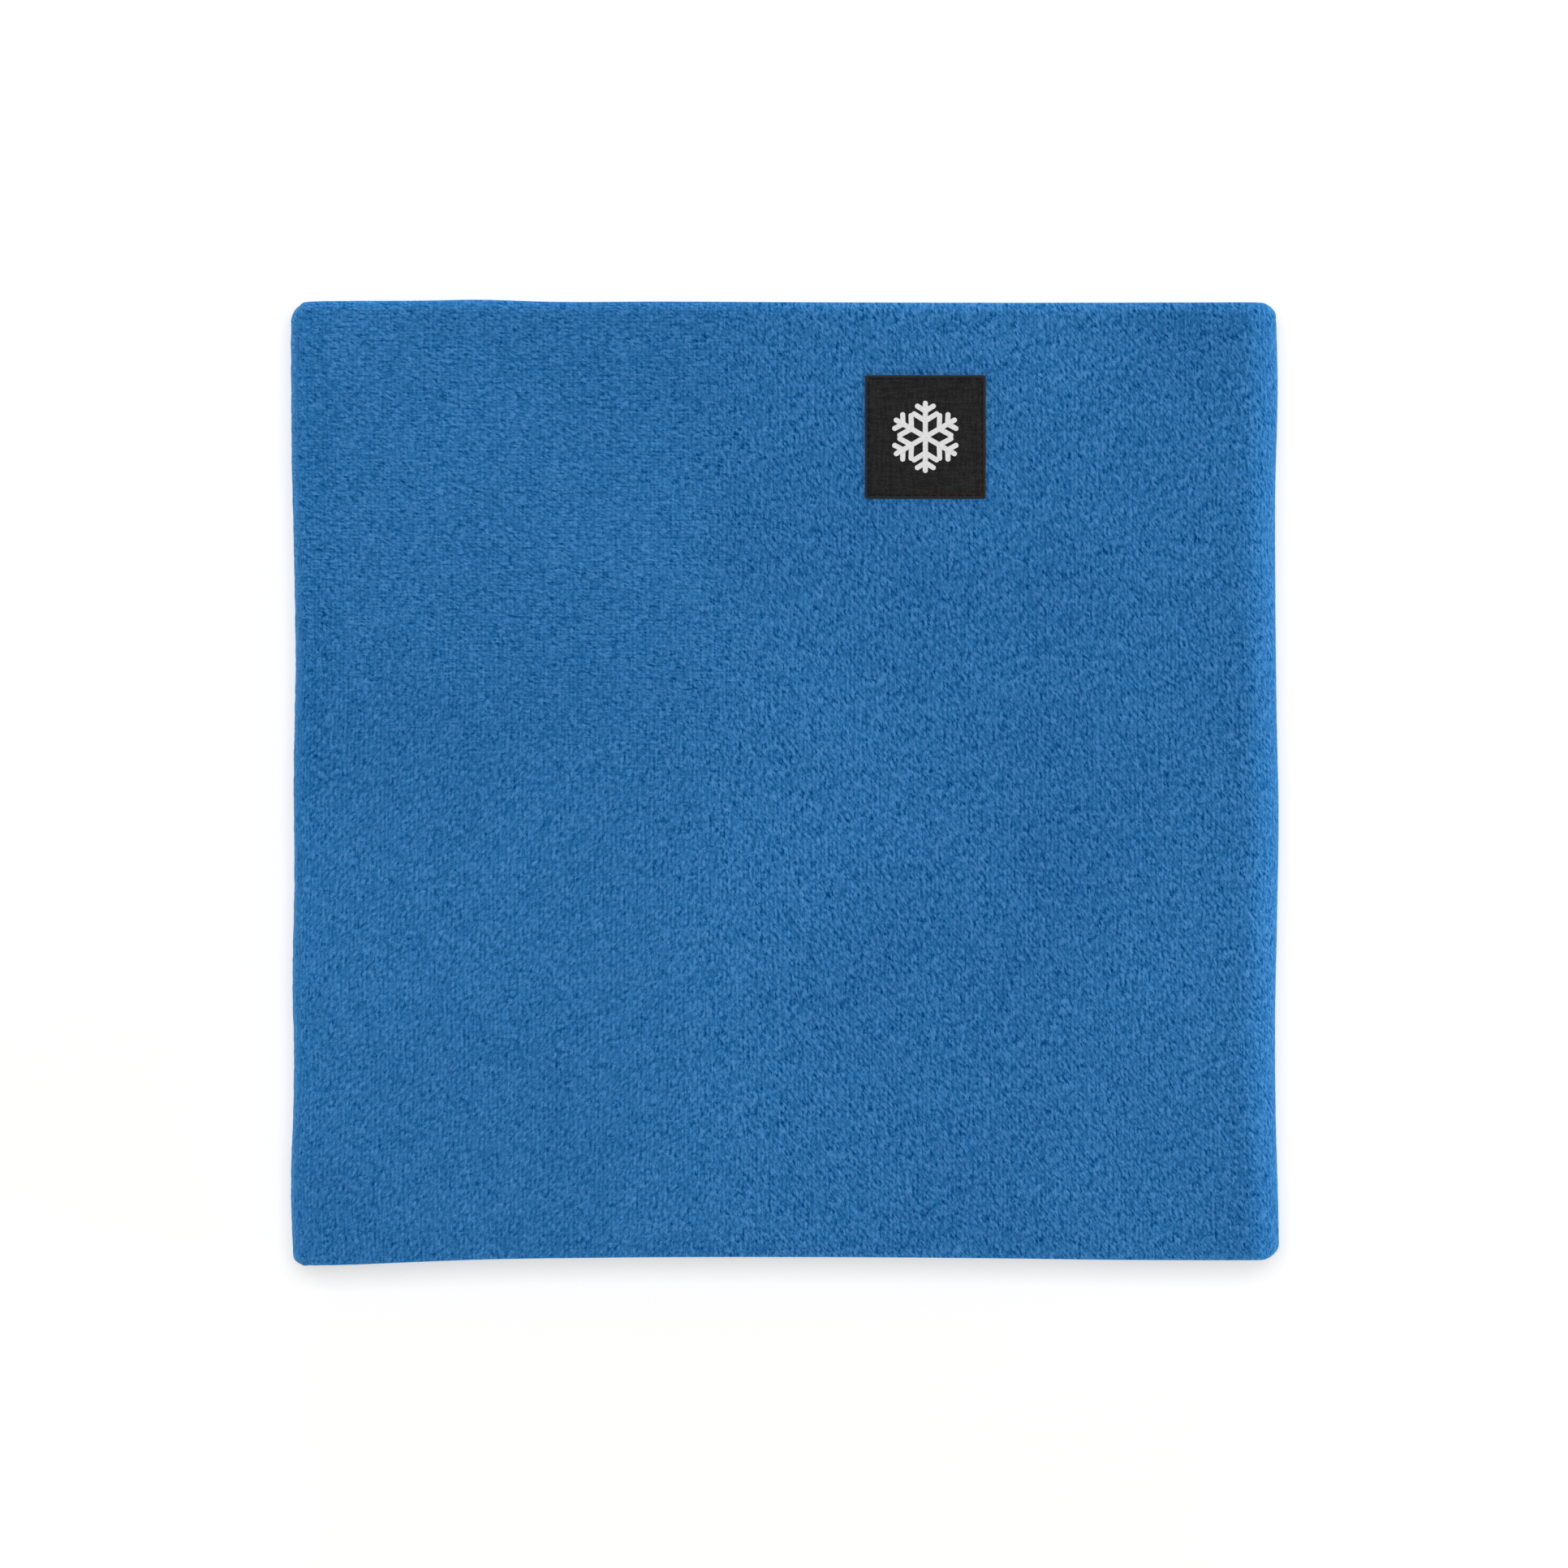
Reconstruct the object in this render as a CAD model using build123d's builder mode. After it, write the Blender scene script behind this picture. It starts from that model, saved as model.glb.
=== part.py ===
from build123d import *

import math
import os

# A fleece neck gaiter lying flat: a double-layer tube whose outer and lining meet in a rolled
# edge at the collar and at the lower hem. All sizes are in millimetres. X runs across the flat
# tube, Y from the lower hem up to the collar, and Z up from the surface that it lies on.

# The tube
flat_width = 254.0
tube_length = 248.0
fleece = 3.2  # one layer of pile fleece
inside_gap = 5.6  # between the two linings of the flattened tube
hem_round = 3.05  # roll of each layer into the edge at the collar and the lower hem

# The seams
thread = 0.5
seam_inset = 1.3  # from the tube's end to the seam that joins outer and lining
side_seam_angle = 37.0  # of the side seams round the left fold, from its middle

# The stitching that closes the gap through which the tube was turned right side out
closing_length = 44.0
closing_x = 14.2
closing_inset = 2.8  # from the lower hem
closing_groove = (0.9, 0.5)  # width and depth that the stitches pull into the pile
closing_stitch_size = (2.0, 0.5, 0.3)
closing_pitch = 2.75

# The woven patch on the front
patch_size = (31.1, 31.7, 0.6)
patch_centre = (36.0, 88.8)
patch_corner = 0.6
patch_stitch_inset = 0.95
patch_stitch_size = (1.45, 0.3, 0.2)
patch_stitch_pitch = 2.25
patch_stitch_count = 13  # along each side

# The six-armed snowflake printed on the patch
print_thickness = 0.15
print_line = 1.3
arm_length = 8.6
twigs = ((4.1, 3.4), (6.6, 2.4))  # place along each arm, and length
twig_angle = 58.0

# The care label inside the back, below the collar
care_size = (22.0, 34.0, 0.25)
care_drop = 13.0  # from the collar to its upper edge
care_stitch_size = (1.5, 0.3, 0.15)
care_stitch_pitch = 2.4
care_stitch_count = 8
care_stitch_inset = 1.2

thickness = 4 * fleece + inside_gap
middle = thickness / 2
fold_centre_x = flat_width / 2 - middle
layer_meeting_radius = middle - fleece

os.makedirs("parts", exist_ok=True)


def save(part, name):
    """Labels a finished piece and writes it under its node's name."""
    part.label = name
    export_step(part, f"parts/{name}.step")


def tube_ring(outer_inset, inner_inset, y=0.0):
    """The flattened tube's cross-section at y, between two insets from its outer face."""
    with BuildSketch(Plane.XZ.offset(-y)) as ring:
        with Locations((0, middle)):
            SlotOverall(flat_width - 2 * outer_inset, thickness - 2 * outer_inset)
            SlotOverall(
                flat_width - 2 * inner_inset,
                thickness - 2 * inner_inset,
                mode=Mode.SUBTRACT,
            )
    return ring.sketch


def end_seam(end):
    """The path of the seam round one end of the tube, between outer and lining."""
    y = end * (tube_length / 2 - seam_inset)
    return tube_ring(fleece - thread / 2, fleece + thread / 2, y)


def side_seam(angle):
    """The section of the seam that closes one layer into a tube, on the left fold."""
    across = layer_meeting_radius * math.cos(math.radians(angle))
    up = layer_meeting_radius * math.sin(math.radians(angle))
    with BuildSketch(Plane.XZ) as section:
        with Locations(Location((-fold_centre_x - across, middle + up, 0), -angle)):
            Rectangle(thread, thread)
    return section.sketch


collar, hem = 1, -1
ends = {"collar": collar, "hem": hem}
halves = {"back": Keep.BOTTOM, "front": Keep.TOP}
side_seam_length = tube_length - 4 * seam_inset
fold_plane = Plane.XY.offset(middle)
groove_width, groove_depth = closing_groove
closing_y = closing_inset - tube_length / 2
groove_floor = thickness - groove_depth

# The two layers, each parted at the side folds into a back and a front half
for half, keep in halves.items():
    with BuildPart() as outer:
        extrude(tube_ring(0, fleece), amount=tube_length / 2, both=True)
        end_faces = outer.faces().filter_by(Axis.Y)
        fillet([edge for face in end_faces for edge in face.outer_wire().edges()], hem_round)
        for end in ends.values():
            extrude(end_seam(end), amount=thread / 2, both=True, mode=Mode.SUBTRACT)
        for angle in (side_seam_angle, -side_seam_angle):
            extrude(
                side_seam(angle), amount=side_seam_length / 2, both=True, mode=Mode.SUBTRACT
            )
        with BuildSketch(Plane.XY.offset(groove_floor)):
            with Locations((closing_x, closing_y)):
                Rectangle(closing_length, groove_width)
        extrude(amount=groove_depth, mode=Mode.SUBTRACT)
        split(bisect_by=fold_plane, keep=keep)
    save(outer.part, f"outer_{half}")

    with BuildPart() as lining:
        extrude(tube_ring(fleece, 2 * fleece), amount=tube_length / 2, both=True)
        end_faces = lining.faces().filter_by(Axis.Y)
        fillet(
            [edge for face in end_faces for wire in face.inner_wires() for edge in wire.edges()],
            hem_round,
        )
        for end in ends.values():
            extrude(end_seam(end), amount=thread / 2, both=True, mode=Mode.SUBTRACT)
        for angle in (side_seam_angle, -side_seam_angle):
            extrude(
                side_seam(angle), amount=side_seam_length / 2, both=True, mode=Mode.SUBTRACT
            )
        split(bisect_by=fold_plane, keep=keep)
    save(lining.part, f"lining_{half}")

    # The seams that join outer and lining round the collar and the lower hem
    for name, end in ends.items():
        with BuildPart() as seam_thread:
            extrude(end_seam(end), amount=thread / 2, both=True)
            split(bisect_by=fold_plane, keep=keep)
        save(seam_thread.part, f"{name}_seam_thread_{half}")

# The side seam of each layer, both on the left fold: the outer's above its middle, on the
# front half, and the lining's below it, on the back half
for name, angle in {"outer": side_seam_angle, "lining": -side_seam_angle}.items():
    with BuildPart() as seam_thread:
        extrude(side_seam(angle), amount=side_seam_length / 2, both=True)
    save(seam_thread.part, f"{name}_side_seam_thread")

# The closing stitches, on the floor of the groove that they pull into the front
with BuildPart() as closing_stitches:
    stitch_length, stitch_width, stitch_height = closing_stitch_size
    stitch_count = int(closing_length // closing_pitch)
    with BuildSketch(Plane.XY.offset(groove_floor)):
        with Locations((closing_x, closing_y)):
            with GridLocations(closing_pitch, 0, stitch_count, 1):
                Rectangle(stitch_length, stitch_width)
    extrude(amount=stitch_height)
save(closing_stitches.part, "closing_stitches")

# The woven patch, flat on the front near the collar
patch_width, patch_height, patch_thickness = patch_size
patch_face = Plane(origin=(*patch_centre, thickness))
print_face = patch_face.offset(patch_thickness)
with BuildPart() as label_patch:
    with BuildSketch(patch_face):
        RectangleRounded(patch_width, patch_height, patch_corner)
    extrude(amount=patch_thickness)
save(label_patch.part, "label_patch")

# The stitches round the patch, one row inside each of its four edges
with BuildPart() as patch_stitches:
    stitch_length, stitch_width, stitch_height = patch_stitch_size
    row_gap = patch_height - 2 * patch_stitch_inset
    column_gap = patch_width - 2 * patch_stitch_inset
    with BuildSketch(print_face):
        with GridLocations(patch_stitch_pitch, row_gap, patch_stitch_count, 2):
            Rectangle(stitch_length, stitch_width)
        with GridLocations(column_gap, patch_stitch_pitch, 2, patch_stitch_count):
            Rectangle(stitch_width, stitch_length)
    extrude(amount=stitch_height)
save(patch_stitches.part, "patch_stitches")

# The printed snowflake: six arms from the centre, each with two pairs of twigs
with BuildPart() as patch_print:
    with BuildSketch(print_face):
        with PolarLocations(arm_length / 2, 6, start_angle=90):
            SlotOverall(arm_length + print_line, print_line)
        for place, length in twigs:
            for angle in (-twig_angle, twig_angle):
                twig_x = length / 2 * math.cos(math.radians(angle))
                twig_y = length / 2 * math.sin(math.radians(angle))
                with PolarLocations(place, 6, start_angle=90):
                    with Locations(Location((twig_x, twig_y, 0), angle)):
                        SlotOverall(length + print_line, print_line)
    extrude(amount=print_thickness)
save(patch_print.part, "patch_print")

# The care label, a satin tape sewn to the back lining along its upper edge
care_width, care_height, care_thickness = care_size
care_top = tube_length / 2 - care_drop
care_face = Plane.XY.offset(2 * fleece)
with BuildPart() as care_label:
    with BuildSketch(care_face):
        with Locations((0, care_top - care_height / 2)):
            Rectangle(care_width, care_height)
    extrude(amount=care_thickness)
save(care_label.part, "care_label")

with BuildPart() as care_label_stitches:
    stitch_length, stitch_width, stitch_height = care_stitch_size
    with BuildSketch(care_face.offset(care_thickness)):
        with Locations((0, care_top - care_stitch_inset)):
            with GridLocations(care_stitch_pitch, 0, care_stitch_count, 1):
                Rectangle(stitch_length, stitch_width)
    extrude(amount=stitch_height)
save(care_label_stitches.part, "care_label_stitches")
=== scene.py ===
import math

import bmesh
import bpy
import numpy as np
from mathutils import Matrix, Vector


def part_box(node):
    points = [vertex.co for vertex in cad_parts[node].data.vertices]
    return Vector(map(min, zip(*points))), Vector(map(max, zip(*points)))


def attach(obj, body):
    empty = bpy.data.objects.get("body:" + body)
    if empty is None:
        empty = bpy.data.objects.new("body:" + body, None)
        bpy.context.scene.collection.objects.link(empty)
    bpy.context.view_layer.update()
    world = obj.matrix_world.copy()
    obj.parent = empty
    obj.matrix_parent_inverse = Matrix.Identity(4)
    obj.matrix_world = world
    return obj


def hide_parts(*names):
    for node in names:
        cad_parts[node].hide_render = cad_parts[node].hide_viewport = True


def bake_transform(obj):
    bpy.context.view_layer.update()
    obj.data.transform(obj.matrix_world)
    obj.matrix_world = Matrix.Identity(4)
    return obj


# A pile-fleece neck gaiter lying flat, built round its CAD solids. Lengths are in metres, X
# across the flat tube, Y from the lower hem to the collar, Z up from the floor.
#
# Both fleece layers are one continuous mesh right round the tube. A point of a layer is named
# by three things: its place on the ring that is the tube's cross-section, its row along the
# tube, and its depth below the tube's outer face.

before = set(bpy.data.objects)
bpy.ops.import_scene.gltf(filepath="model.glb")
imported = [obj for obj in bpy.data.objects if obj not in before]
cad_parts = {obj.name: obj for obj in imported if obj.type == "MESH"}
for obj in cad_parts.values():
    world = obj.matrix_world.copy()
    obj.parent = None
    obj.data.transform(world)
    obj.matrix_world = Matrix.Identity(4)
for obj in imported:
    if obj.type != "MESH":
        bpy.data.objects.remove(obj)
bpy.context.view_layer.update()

MM = 0.001
PATCH_TUCK = 0.07 * MM  # how far each side of the patch draws in as it is sewn down
PATCH_SHIFT = Vector((0, -0.3 * MM, 0))  # where the settled cloth has carried the patch

# ---------------------------------------------------------------- sizes from the frame

tube_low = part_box("outer_back")[0]
tube_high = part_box("outer_front")[1]
width = tube_high.x - tube_low.x
thickness = tube_high.z
middle = thickness / 2
length = tube_high.y - tube_low.y
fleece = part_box("lining_back")[0].z
inner_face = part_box("care_label")[0].z  # height of the back lining's face inside the tube
flat_half = width / 2 - middle  # from the centre to where a side fold begins
closing_low, closing_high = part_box("closing_stitches")
patch_low, patch_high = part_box("label_patch")
patch_centre = (patch_low + patch_high) / 2 + PATCH_SHIFT
patch_half = (patch_high - patch_low) / 2 - Vector((PATCH_TUCK, 0, 0))
print_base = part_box("patch_print")[0].z
care_low, care_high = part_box("care_label")

# ---------------------------------------------------------------- sizes of the cloth

# From one point of a ring to the next, on the tube's front, its side folds and its back
OUTER_STEPS = (0.62 * MM, 0.7 * MM, 1.5 * MM)
LINING_STEPS = (0.9 * MM, 0.8 * MM, 0.9 * MM)
SEAM_STEPS = (0.5 * MM, 0.45 * MM, 0.5 * MM)
SIDE_SEAM_POINTS = 560
LINING_END = 42 * MM  # how far in from the tube's ends the lining is in sight
LINING_MIDDLE_ROWS = 34  # of the lining between its two ends
PLAIN_STEPS = np.linspace(0, 1, 12)  # rows of the plain faces in which the layers meet

# How far the lying cloth's edges stand out from a straight-edged rectangle, in mm, as
# (place along the edge, distance)
LEFT_EDGE = (
    (-124, -0.7), (-101, 0.0), (-90, -0.4), (-75, -0.8), (-50, -0.45), (-26, -0.9), (0, -0.75),
    (34, -1.2), (62, -0.7), (86, -0.2), (124, 0.0),
)
RIGHT_EDGE = (
    (-124, 0.1), (-105, -0.3), (-90, -0.75), (-62, -1.0), (-35, -0.5), (-8, -0.1), (15, -0.55),
    (45, -0.9), (75, -0.95), (102, -0.35), (124, -0.9),
)
TOP_EDGE = (
    (-127, -0.6), (-112, -0.55), (-91, -0.45), (-80, -0.25), (-60, -0.75), (-30, -0.7),
    (0, -0.85), (50, -1.0), (127, -0.9),
)
BOTTOM_EDGE = (
    (-127, 0.0), (-112, -0.35), (-95, -1.05), (-80, -1.6), (-45, -2.15), (7, -2.3), (57, -1.95),
    (86, -1.6), (127, -1.5),
)
# How much of its edges in X and Y each corner's round outline takes, in mm, by the sides of
# the tube that it lies on
CORNERS = {(-1, 1): (5.2, 5.2), (1, 1): (4.2, 3.5), (-1, -1): (3.2, 2.5), (1, -1): (5.3, 4.1)}
CORNER_REACH = 9 * MM

PILE_RELIEF = 0.5 * MM  # from the floor of a crevice to the tip of a nub
NUB = 1.7 * MM  # from one nub to the next
WALE = 1.09 * MM  # from one column of the knit under the pile to the next
COURSE = 0.89 * MM  # from one row of the knit to the next
ROLL_ALONG = 3.0 * MM  # how far back from its edge a layer begins to roll into it
ROLL_END = math.radians(130)  # how far each layer rolls before it meets the other
ROLL_DEPTH = fleece / (1 - math.cos(ROLL_END))
ROLL_ROWS = 12
SEAM_ANGLE = math.radians(37)  # of the side seams round the left fold, from its middle
SAG = 1.0 * MM  # how far the front settles between the side folds

CLOSING_WIDTH = 0.5 * MM  # of the furrow that the closing stitches pull into the pile
CLOSING_DEPTH = 0.7 * MM
CLOSING_COUNT = 16
closing_pitch = (closing_high.x - closing_low.x) / CLOSING_COUNT
CLOSING_DRIFT = 0.45 * MM  # how far the row of stitches lies to each side of its line
CLOSING_TURN = (4 * MM, 14 * MM)  # the part of X over which it goes from side to side
SEAM_WIDTH = 0.6 * MM  # of the furrow along a side seam
SEAM_DEPTH = 0.5 * MM
SEAM_SUNK = SEAM_DEPTH + 0.25 * MM  # from a layer's face to its side seam's thread
SEAM_WANDER = 0.25 * MM  # how far a side seam lies to each side of its line
END_SEAM_INSET = 0.95 * MM  # from the tube's ends to the seams that join the layers
PUCKER_REACH = 6 * MM  # how far the cloth puckers beside a side seam
PUCKER_DEPTH = 0.35 * MM
STITCH = 2.5 * MM  # of the sewing machine, along every seam
STITCH_WAVE = 0.2 * MM  # how far a seam's thread swings with each stitch
THREAD = 0.2 * MM  # radius
# Of a single stitch: its length, its thread's radius, and how far its ends dip into the cloth
CLOSING_STITCH = (2.1 * MM, 0.22 * MM, 0.5 * MM)
PATCH_STITCH = (1.45 * MM, 0.19 * MM, 0.3 * MM)
CARE_STITCH = (1.5 * MM, 0.12 * MM, 0.2 * MM)

PATCH_TOP = 0.2 * MM  # the patch's two faces, from the tips of the pile round it
PATCH_BOTTOM = -0.4 * MM
PATCH_RIM = 1.1 * MM  # how far past the patch the pile is drawn down
PATCH_PULL = 0.55 * MM  # how far it is drawn down there
PATCH_PRESS = 0.1 * MM  # from the patch down to the pile under it
WEAVE = 0.55 * MM  # from one thread of the patch to the next
PATCH_STITCHES = 13  # along each side
PATCH_STITCH_STEP = 2.25 * MM
PATCH_STITCH_GROOVE = 0.09 * MM
PATCH_GRID = 0.145 * MM  # from one point of the patch to the next
PATCH_CORNER = 0.6 * MM
PATCH_EDGE = 0.3 * MM  # radius of its rounded edges
PRINT_UP = 0.03 * MM  # the print's two faces, from the patch's
PRINT_DOWN = -0.08 * MM

CARE_STITCHES = 8
CARE_STITCH_STEP = 2.4 * MM
CARE_STITCH_INSET = 1.2 * MM  # from the label's upper edge
CARE_PLY = 0.12 * MM  # thickness of the tape
CARE_FOLD = 0.25 * MM  # radius in which it folds in two
CARE_CURL = 1.5 * MM  # how far its free end lifts

# ---------------------------------------------------------------- sizes of the studio

FRAMED = 402.8 * MM  # what the picture spans at half the gaiter's height
CAMERA_HEIGHT = 3.0
SENSOR = 36 * MM
FLOOR_HALF = 12.0
WORLD_LIGHT = 0.16

dice = np.random.default_rng(12)

# ---------------------------------------------------------------- repeatable noise


def chance(column, row, seed):
    """A repeatable random number from 0 to 1 for each pair of whole numbers."""
    mixed = (column * 374761393 + row * 668265263 + seed * 1442695041) & 0xFFFFFFFF
    mixed = ((mixed ^ (mixed >> 13)) * 1274126177) & 0xFFFFFFFF
    return (mixed ^ (mixed >> 16)) / 0xFFFFFFFF


def smooth_step(x, start, end):
    """0 up to start, 1 from end on, and a smooth ramp between them."""
    t = np.clip((x - start) / (end - start), 0, 1)
    return t * t * (3 - 2 * t)


def waves(x, y, size, seed):
    """Smooth random waves from -1 to 1, each about size across."""
    x, y = x / size, y / size
    column, row = np.floor(x).astype(np.int64), np.floor(y).astype(np.int64)
    across, up = smooth_step(x - column, 0, 1), smooth_step(y - row, 0, 1)
    corners = [chance(column + i, row + j, seed) for j in (0, 1) for i in (0, 1)]
    low = corners[0] * (1 - across) + corners[1] * across
    high = corners[2] * (1 - across) + corners[3] * across
    return 2 * (low * (1 - up) + high * up) - 1


def through(points, x):
    """A smooth curve through a few (place, distance) points in mm, read at x in metres."""
    places = np.array([point[0] for point in points], float) * MM
    values = np.array([point[1] for point in points], float) * MM
    slopes = np.gradient(values, places)
    k = np.clip(np.searchsorted(places, x) - 1, 0, len(places) - 2)
    gap = places[k + 1] - places[k]
    t = np.clip((x - places[k]) / gap, 0, 1)
    rise = values[k + 1] - values[k]
    start = slopes[k] * gap - rise
    end = rise - slopes[k + 1] * gap
    return values[k] + t * rise + t * (1 - t) * (start * (1 - t) + end * t)


# ---------------------------------------------------------------- the pile

# Which way the crevices of the pile run, from +X, on the right, the lower left and the upper
# left
LIES = tuple(math.radians(angle) for angle in (128, 56, 150))
RIGHT_BORDER = (-52 * MM, 26 * MM)  # the strip of X over which the lie turns to the right's
UPPER_BORDER = (-50 * MM, 46 * MM)  # the strip of Y over which it turns to the upper left's


def grain(x, y):
    """How much of each of the three lies the pile has at a place."""
    right = smooth_step(x, *RIGHT_BORDER)
    upper = (1 - right) * smooth_step(y + 0.3 * x, *UPPER_BORDER)
    return np.stack((right, 1 - right - upper, upper), -1)


def nubs(along, up, x, y, seed):
    """Height of the pile, from 0 in its crevices to 1 on the tips of its nubs. along and up are
    places on the unrolled cloth, and x and y on the lying tube."""
    shares = grain(x, y)
    twice_cos = shares @ np.cos(2 * np.array(LIES))
    twice_sin = shares @ np.sin(2 * np.array(LIES))
    lie = np.arctan2(twice_sin, twice_cos) / 2
    drawn = 1 + 0.32 * np.hypot(twice_sin, twice_cos)
    cos, sin = np.cos(lie), np.sin(lie)
    u = (along + 0.35 * NUB * waves(along, up, 4 * MM, seed + 1)) / NUB
    v = (up + 0.35 * NUB * waves(along, up, 4 * MM, seed + 2)) / NUB
    column, row = np.floor(u).astype(np.int64), np.floor(v).astype(np.int64)
    nearest = np.full(u.shape, 9.0)
    second = np.full(u.shape, 9.0)
    height = np.zeros(u.shape)
    for i in range(-2, 3):
        for j in range(-2, 3):
            du = column + i + 0.5 + 0.9 * (chance(column + i, row + j, seed) - 0.5) - u
            dv = row + j + 0.5 + 0.9 * (chance(column + i, row + j, seed + 7) - 0.5) - v
            distance = np.hypot((du * cos + dv * sin) / drawn, (dv * cos - du * sin) * drawn)
            second = np.minimum(second, np.maximum(nearest, distance))
            tallness = chance(column + i, row + j, seed + 11)
            height = np.where(distance < nearest, tallness, height)
            nearest = np.minimum(nearest, distance)
    wall = smooth_step(second - nearest, 0.0, 0.36)
    crown = 1 - 0.3 * nearest**2
    return np.clip(wall * crown * (0.72 + 0.28 * height), 0, 1)


# ---------------------------------------------------------------- the tube


def section(front_step, fold_step, back_step):
    """The ring: points round the tube's outer face, from the outer's side seam over the front,
    the right fold and the back. Gives their x and z, their outward direction and how far
    round the tube they are."""
    top = math.pi / 2
    start = math.pi - SEAM_ANGLE
    parts = []

    def arc(centre, first, last):
        count = max(4, round(abs(last - first) * middle / fold_step))
        angle = np.linspace(first, last, count, endpoint=False)
        cos, sin = np.cos(angle), np.sin(angle)
        parts.append((centre + middle * cos, middle + middle * sin, cos, sin))

    def flat(first, last, side, step):
        x = np.linspace(first, last, round(abs(last - first) / step), endpoint=False)
        level = np.zeros(len(x))
        parts.append((x, level + middle + side * middle, level, level + side))

    arc(-flat_half, start, top)
    flat(-flat_half, flat_half, 1, front_step)
    arc(flat_half, top, -top)
    flat(flat_half, -flat_half, -1, back_step)
    arc(-flat_half, 3 * top, start)
    x, z, out_x, out_z = (np.concatenate(values) for values in zip(*parts))
    steps = np.hypot(np.diff(x, append=x[0]), np.diff(z, append=z[0]))
    return x, z, out_x, out_z, np.concatenate(([0], np.cumsum(steps)[:-1]))


def rows_along(steps):
    """Rows of one face from the lower hem to the collar, over both rolled edges. Gives their
    share of the way, offset along the tube, roll from the face, turn of the face and place
    along the cloth. steps is the share of each row of the flat part."""
    turn = np.linspace(ROLL_END, 0, ROLL_ROWS)
    offset = ROLL_ALONG * (1 - np.sin(turn))
    roll = ROLL_DEPTH * (1 - np.cos(turn))
    none = np.zeros(len(steps))
    share = np.concatenate((np.zeros(ROLL_ROWS), steps, np.ones(ROLL_ROWS)))
    offset = np.concatenate((offset, ROLL_ALONG * (1 - 2 * steps), -offset[::-1]))
    roll = np.concatenate((roll, none, roll[::-1]))
    turn = np.concatenate((-turn, none, turn[::-1]))
    place = (share - 0.5) * length + offset
    walked = np.hypot(np.diff(place, prepend=place[0]), np.diff(roll, prepend=roll[0]))
    return share, offset, roll, turn, np.cumsum(walked) - length / 2


def ends_at(x):
    """Where the tube's lower hem and collar lie, at x on its outer face."""
    return tube_low.y - through(BOTTOM_EDGE, x), tube_high.y + through(TOP_EDGE, x)


def to_outline(angle, across, up):
    """Distance to the outline of a corner, from CORNER_REACH inside both its edges. across
    and up are how much of the edges its round part takes."""
    cos, sin = np.cos(angle), np.sin(angle)
    edge = CORNER_REACH / np.maximum(cos, sin)
    x, y = CORNER_REACH - across, CORNER_REACH - up
    on_round = (edge * cos > x) & (edge * sin > y)
    square = (cos / across) ** 2 + (sin / up) ** 2
    half = (x * cos / across**2 + y * sin / up**2) / square
    rest = ((x / across) ** 2 + (y / up) ** 2 - 1) / square
    return np.where(on_round, half + np.sqrt(np.maximum(half**2 - rest, 0)), edge)


def round_corners(x, y):
    """Draws the tube's corners in to their rounder outlines."""
    low, high = ends_at(x)
    for (side_x, side_y), (taken_x, taken_y) in CORNERS.items():
        end = high if side_y > 0 else -low
        across = np.maximum(side_x * x - (width / 2 - CORNER_REACH), 0)
        up = np.maximum(side_y * y - (end - CORNER_REACH), 0)
        angle = np.arctan2(up, across)
        rounder = to_outline(angle, taken_x * MM, taken_y * MM)
        drawn = rounder / to_outline(angle, ROLL_DEPTH, ROLL_ALONG) - 1
        in_corner = (across > 0) & (up > 0)
        x = x + np.where(in_corner, side_x * across * drawn, 0)
        y = y + np.where(in_corner, side_y * up * drawn, 0)
    return x, y


def sag(x, y):
    """How far the front lies below its height at the side folds."""
    spread = np.clip(1 - (x / flat_half) ** 2, 0, 1)
    swell = 0.55 * waves(x, y, 42 * MM, 31) + 0.3 * waves(x + 9 * MM, y, 23 * MM, 32)
    return SAG * spread**0.7 * (0.62 + 0.38 * swell)


def settle(x, y, z):
    """Moves points of the straight-edged tube to where the lying cloth has them."""
    reach = smooth_step(np.abs(x), 0.4 * width / 2, flat_half)
    edge = np.where(x < 0, -through(LEFT_EDGE, y), through(RIGHT_EDGE, y))
    front = smooth_step(z, inner_face, thickness - inner_face)
    z = z - front * sag(x, y)
    x, y = round_corners(x, y + 0 * x)
    return np.stack((x + reach * edge, y, z), -1)


def places(ring, rows):
    """The x and y of each point of a face, before the cloth settles."""
    x = ring[0][None, :]
    share, offset = rows[0][:, None], rows[1][:, None]
    low, high = ends_at(x)
    y = low * (1 - share) + high * share + offset
    return x + 0 * y, y


def face(ring, rows, depth, relief=0):
    """Points of a face at depth below the tube's outer face. Its edges roll towards the face
    in which the two layers meet."""
    _, z, out_x, out_z, _ = (value[None, :] for value in ring)
    _, _, roll, turn, _ = (value[:, None] for value in rows)
    x, y = places(ring, rows)
    inward = 1 if depth < fleece else -1
    inset = depth + inward * (roll - np.cos(turn) * relief)
    z = np.maximum(z - inset * out_z, 0)
    return settle(x - inset * out_x, y + np.sin(turn) * relief, z)


def near_seam(ring, y, side):
    """Closeness to a layer's side seam, from 0 to 1, greatest where its thread is tight. side
    is 1 above the fold's middle."""
    facing = side * ring[3] * math.sin(SEAM_ANGLE) - ring[2] * math.cos(SEAM_ANGLE)
    round_it = ring[4]
    girth = round_it[-1] + round_it[1]
    apart = np.abs(round_it - round_it[np.argmax(facing)])
    apart = np.minimum(apart, girth - apart)[None, :]
    apart = apart + SEAM_WANDER * waves(y, 0 * y, 7 * MM, 41)
    tight = 0.25 + 0.75 * smooth_step(waves(y, 0 * y, 4 * MM, 42), -0.1, 0.5)
    tight = tight * smooth_step(length / 2 - np.abs(y), 1 * MM, 9 * MM)
    return tight * np.exp(-((apart / SEAM_WIDTH) ** 2))


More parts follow.
